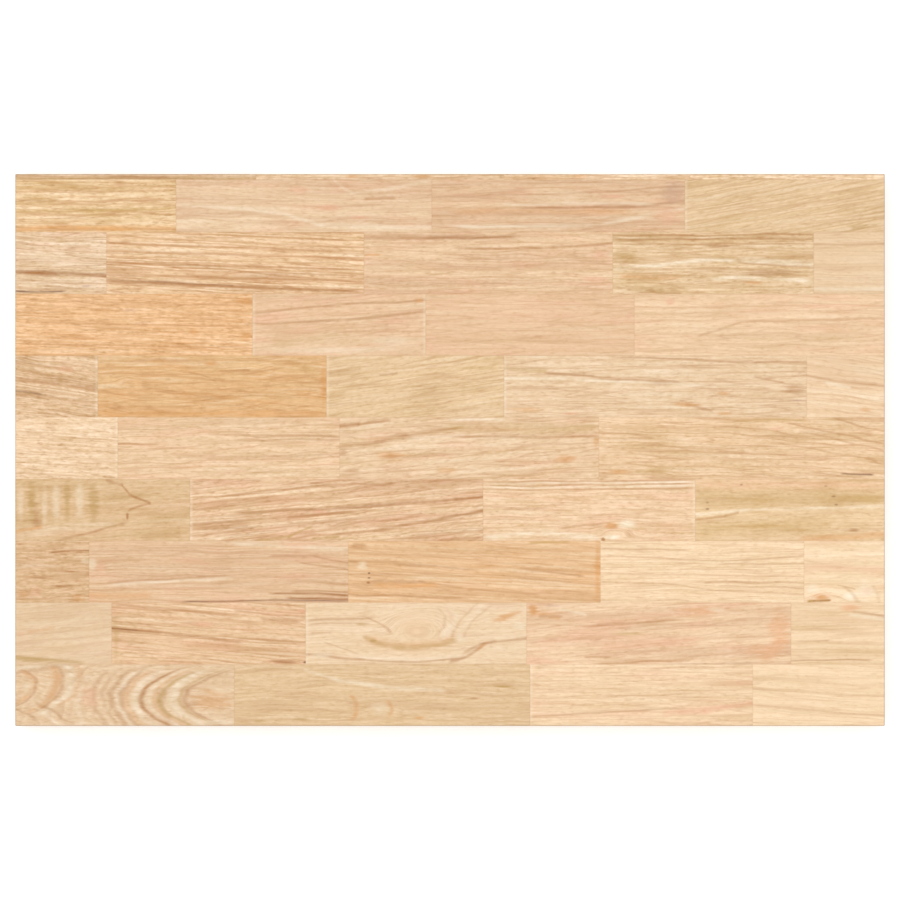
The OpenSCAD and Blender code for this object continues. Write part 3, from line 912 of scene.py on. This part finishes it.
# Row 8: pale tan, a pinkish stave with strong falling lines, the pale stave where the
# rings swirl round a hidden knot, a pink-brown one with a salmon flame, and pale straw.
stave("row_8_stave_1", "wheat", "cream", "rose",
      streak("olive", (-9, 61), (81, 69.5), 3, 0.6),
      patch("olive", (19, 65.5), (51, 4.5), 0.6, tilt=0.08),
      patch("blush", (7, 36), (8, 3.5), 0.35),
      streak("amber", (12, 34.5), (47, 29), 3.6, 0.35),
      patch("straw", (51, 51), (34, 9), 0.4),
      lean=(-0.08, 0.0), lines=0.12, threads=0.15, fibre=0.42, light=0.91)
stave("row_8_stave_2", "sand", "biscuit", "blush",
      streak("umber", (104, 29.5), (171, 35), 3.6, 0.95),
      patch("olive", (116, 42), (5, 30), 0.4),
      streak("bark", (104, 29), (143, 32), 1.5, 0.5),
      streak("umber", (162, 34), (266, 46), 3, 0.6),
      streak("umber", (104, 1), (258, 15.5), 2.8, 0.55),
      streak("umber", (250, 9), (341, 17.5), 2.4, 0.55),
      streak("umber", (281, 18.5), (329, 22), 3.3, 0.65),
      patch("blush", (216, 24.5), (17, 4.5), 0.5),
      patch("rust", (308, 67.5), (22, 3), 0.65),
      patch("blush", (329, 9.5), (7, 3), 0.6),
      patch("bark", (335, 68.5), (5, 2.5), 0.9),
      streak("umber", (250, 40.5), (341, 46.5), 2.4, 0.45),
      ring=6.0, lean=(0.07, 0.0), lines=0.45, threads=0.3, fibre=0.85, light=0.97)
stave("row_8_stave_3", "cream", "pale", "biscuit",
      swirl(20, (465, 23.5), (48, 25.5)),
      patch("peach", (463, 22.5), (32, 16), 0.55),
      patch("biscuit", (462, 32.5), (15, 7.5), 0.6),
      streak("umber", (332, 20.5), (415, 16.5), 2.7, 0.6, -0.5),
      arc("umber", (397, 15), (434, 37.5), 4.5, 0.42, 7),
      streak("umber", (333, 26), (410, 24), 2, 0.45, -1.5),
      patch("olive", (398, 25), (9, 2), 0.5),
      streak("umber", (339, 34.5), (364, 35), 2, 0.4),
      streak("umber", (352, 44.5), (396, 59), 2, 0.3),
      streak("umber", (325, 57.5), (405, 65), 3, 0.65, 1),
      streak("rust", (387, 62.5), (520, 62), 2.4, 0.55, 6),
      streak("milk", (387, 59.5), (520, 58.5), 3.8, 0.35, 6),
      streak("umber", (497, 68.5), (541, 47.5), 3.3, 0.6, 3.5),
      streak("umber", (513, 59), (555, 43), 3.3, 0.5, -1),
      streak("umber", (532, 49), (596, 41), 2.7, 0.6, -2),
      streak("amber", (398, 40), (509, 40), 8.2, 0.4, 10.5),
      streak("olive", (398, 40), (451, 51), 4.5, 0.5, 3),
      streak("olive", (431, 52), (511, 41.5), 5.1, 0.5, 4.5),
      patch("olive", (412, 44), (7, 2.5), 0.75),
      arc("umber", (484, 3), (479, 42), 3.6, 0.2, 12.5),
      arc("rose", (493, 3), (488, 44), 6, 0.4, 12.5),
      arc("milk", (501, 3), (488, 45.5), 5.7, 0.35, 10.5),
      arc("umber", (534, -0.5), (502, 44), 3.6, 0.24, -7),
      arc("umber", (553, -0.5), (515, 44), 3.6, 0.22, -8),
      arc("milk", (543, -0.5), (508, 46.5), 5.7, 0.3, -7),
      patch("milk", (495, 32.5), (12, 7), 0.5, tilt=-0.9),
      patch("milk", (513, 42), (8, 7), 0.35),
      patch("amber", (565, 16), (21, 5.5), 0.6, tilt=-0.3),
      patch("amber", (536, 51), (9, 3.5), 0.4, tilt=-0.6),
      patch("milk", (350, 60.5), (16, 4.5), 0.4),
      patch("milk", (580, 27), (10, 7), 0.4),
      patch("rose", (557, 4), (25, 4.5), 0.35),
      ring=4.2, fade=0.7, ripple=4.5, lines=0.16, threads=0.15, fibre=0.5, second_show=0.5,
      light=0.95, pale_ends=["left"])
stave("row_8_stave_4", "peach", "rose", "blush",
      patch("amber", (595, 8.5), (7, 9), 0.6),
      streak("amber", (593, 11), (628, 17), 6, 0.55),
      patch("violet", (618, 3.5), (15, 2.5), 0.35),
      streak("rust", (601, 16), (631, 16), 2.4, 0.5),
      streak("milk", (624, 6), (658, 14.5), 3.4, 0.55),
      streak("umber", (657, 27.5), (771, 18.5), 2.8, 0.6),
      streak("blush", (668, 52), (792, 42), 8.2, 0.5),
      streak("umber", (653, 63), (686, 63), 2.4, 0.55),
      streak("umber", (663, 70.5), (778, 65.5), 3, 0.6),
      streak("bark", (745, 70), (856, 70), 2.2, 0.2),
      patch("olive", (701, 36), (22, 4), 0.3),
      patch("amber", (787, 9.5), (44, 8.5), 0.35),
      patch("milk", (807, 8.5), (17, 4), 0.55),
      patch("salmon", (873, 52), (24, 16), 0.45, tilt=-0.5),
      patch("amber", (853, 53.5), (18, 10.5), 0.2),
      patch("salmon", (878, 30.5), (17, 25.5), 0.5),
      patch("wheat", (849, 26), (12, 18.5), 0.45),
      lean=(-0.05, 0.0), lines=0.2, threads=0.2, fibre=0.65, second_show=0.6, third_show=0.4,
      light=0.97)
stave("row_8_stave_5", "ivory", "straw", "biscuit",
      patch("salmon", (959, 5.5), (15, 6.5), 0.6),
      streak("rust", (960, 10.5), (1010, 17.5), 3, 0.35),
      streak("milk", (957, 14.5), (1010, 20.5), 3.4, 0.55),
      streak("umber", (884, 66), (988, 65.5), 1.7, 0.6),
      streak("umber", (899, 44), (937, 44), 2, 0.5),
      ring=5.5, lines=0.15, threads=0.15, fibre=0.4, light=0.96)

# Row 9 along the front edge: cathedral arches in the first stave, a small olive knot in
# the second, and two pale quiet staves with a rose band that ends at their joint.
stave("row_9_stave_1", "wheat", "cream", "rose",
      swirl(7, (-2, 26.5), (69, 34.5)),
      patch("wheat", (249, 34.5), (53, 23), 0.6),
      streak("umber", (-4, 11), (65, -0.5), 3.6, 0.45),
      streak("milk", (-6, 7), (58, -1.5), 4.9, 0.55),
      patch("milk", (17, 25.5), (10, 9), 0.5),
      arc("amber", (4, 4.5), (-11, 49.5), 9, 0.45, 26.5),
      arc("rust", (7, 4.5), (-11, 53), 3.9, 0.4, 27.5),
      patch("amber", (42, 14), (16, 4.5), 0.3),
      arc("amber", (40, -1), (12, 58.5), 9, 0.5, 20.5),
      arc("umber", (47, -1), (17, 58.5), 4.5, 0.4, 20.5),
      arc("milk", (55, -3.5), (26, 60), 8.7, 0.65, 22),
      arc("amber", (67, -3.5), (40, 54), 6.9, 0.25, 18.5),
      streak("umber", (21, 41.5), (70, 70), 3.9, 0.45),
      streak("milk", (21, 47), (51, 71.5), 4.6, 0.4),
      streak("umber", (-4, 48.5), (30, 70), 3.9, 0.4),
      arc("milk", (88, 8), (93, 88.5), 5.7, 0.3, -18.5),
      arc("umber", (109, 2.5), (129, 88.5), 5.4, 0.3, -27.5),
      arc("rust", (122, 2.5), (143, 88.5), 4.5, 0.2, -30),
      arc("umber", (136, 3.5), (155, 88.5), 6.6, 0.45, -33.5),
      arc("milk", (145, 3.5), (164, 88.5), 6.5, 0.45, -34.5),
      arc("umber", (152, 3.5), (171, 88.5), 5.4, 0.45, -39),
      arc("amber", (162, 3.5), (180, 88.5), 9, 0.3, -43.5),
      arc("milk", (171, 3.5), (194, 88.5), 8.4, 0.6, -46),
      arc("umber", (196, 2.5), (229, 88.5), 6, 0.8, -68),
      arc("milk", (206, 2.5), (240, 88.5), 5.7, 0.5, -68),
      arc("olive", (216, 6), (256, 88.5), 6.9, 0.7, -68),
      arc("amber", (210, 3.5), (247, 88.5), 7.5, 0.3, -68),
      arc("milk", (227, 3.5), (272, 88.5), 9.9, 0.75, -66.5),
      arc("umber", (258, 3.5), (290, 84), 6.6, 0.5, -78),
      arc("olive", (249, 3.5), (283, 84), 4.5, 0.5, -76),
      patch("rust", (205, 45.5), (12, 4.5), 0.3),
      patch("amber", (226, 41.5), (34, 16), 0.4),
      patch("blush", (86, 38), (16, 18.5), 0.4),
      patch("milk", (237, 65.5), (34, 4.5), 0.5),
      ring=6.4, fade=0.8, heart=(48.0, -52.0), lean=(0.0, 0.4), wave=6, ripple=8, lines=0.22,
      threads=0.1, fibre=0.7, light=0.91)
stave("row_9_stave_2", "straw", "wheat", "tan",
      streak("milk", (331, 6), (373, 18.5), 3.8, 0.55),
      streak("milk", (365, 17.5), (424, 26), 4.2, 0.55),
      streak("milk", (415, 25), (497, 30), 4.2, 0.55),
      patch("olive", (562, 25.5), (16, 2.5), 0.9),
      patch("umber", (528, 39), (10, 2), 0.55),
      patch("olive", (281, 64.5), (10, 2.5), 0.45),
      patch("olive", (331, 63), (12, 2.5), 0.45),
      arc("amber", (385, 33.5), (386, 65.5), 5.1, 0.5, 7),
      patch("amber", (465, 61.5), (7, 3), 0.55),
      arc("amber", (427, 40), (427, 63), 4.5, 0.4, 6),
      patch("milk", (419, 50.5), (13, 10), 0.35),
      swirl(5, (420, 50.5), (32, 17)),
      ring=8.0, fade=0.8, wave=9.0, lines=0.2, threads=0.2, fibre=0.65, second_show=0.35,
      third_show=0.4, clouds=0.6, light=0.93)
stave("row_9_stave_3", "ivory", "peach", "blush",
      patch("olive", (603, 5), (10, 4), 0.35),
      streak("rust", (585, 62), (661, 56), 2.2, 0.45),
      streak("rust", (651, 56.5), (771, 50), 2.5, 0.45),
      streak("blush", (743, 57), (799, 53), 5.8, 0.6),
      streak("blush", (787, 54.5), (856, 43), 5.8, 0.6),
      streak("umber", (670, 37), (789, 33.5), 1.8, 0.35),
      lines=0.25, threads=0.2, fibre=0.6, light=0.97, pale_ends=["left"])
stave("row_9_stave_4", "ivory", "pale", "peach",
      streak("umber", (838, 46), (1010, 60), 2.1, 0.35),
      streak("umber", (838, 28.5), (1010, 37.5), 2, 0.3),
      lean=(0.04, 0.0), lines=0.2, threads=0.15, fibre=0.45, light=0.98)

# The studio: a white floor under the panel, an even white sky, and one very broad lamp a
# little to the left of straight above, whose shadow is only a soft rim round the panel.
WHITE = (1.0, 1.0, 1.0, 1.0)
SKY_STRENGTH = 0.6
LAMP_STRENGTH = 1.3
LAMP_WIDTH_DEG = 100
LAMP_LEAN_DEG = (-14, -12)
FLOOR_HALF = 6.0
FLOOR_LIFT = 0.3


def seen(tree):
    """1 for a ray that the camera sees straight or in a shine, 0 for all other light."""
    rays = add(tree, "LightPath").outputs
    return number(tree, "MAXIMUM", rays["Is Camera Ray"], rays["Is Glossy Ray"])


world = bpy.data.worlds.new("studio")
scene.world = world
world.use_nodes = True
tree = world.node_tree
tree.nodes.clear()
strength = ramp(tree, seen(tree), 0.0, 1.0, SKY_STRENGTH, 1.0)
sky = add(tree, "Background", [WHITE, strength])
add(tree, "OutputWorld", [sky])

lamp_data = bpy.data.lights.new("softbox", "SUN")
lamp_data.energy = LAMP_STRENGTH
lamp_data.angle = math.radians(LAMP_WIDTH_DEG)
lamp = bpy.data.objects.new("softbox", lamp_data)
lamp.rotation_euler = [math.radians(lean) for lean in LAMP_LEAN_DEG] + [0.0]
scene.collection.objects.link(lamp)

floor_data = bpy.data.meshes.new("floor")
floor_data.from_pydata([(x * FLOOR_HALF, y * FLOOR_HALF, 0)
                        for x, y in ((-1, -1), (1, -1), (1, 1), (-1, 1))], [], [(0, 1, 2, 3)])
floor = bpy.data.objects.new("floor", floor_data)
scene.collection.objects.link(floor)
floor_paint = bpy.data.materials.new("white_matt_paint")
floor_paint.use_nodes = True
tree = floor_paint.node_tree
tree.nodes.clear()
paint = add(tree, "BsdfDiffuse", [linear("#F7F7F7")])
lift = add(tree, "Emission", [WHITE, FLOOR_LIFT])
lifted = add(tree, "AddShader", [paint, lift])
shown = add(tree, "MixShader", [seen(tree), paint, lifted])
add(tree, "OutputMaterial", [shown])
floor_data.materials.append(floor_paint)
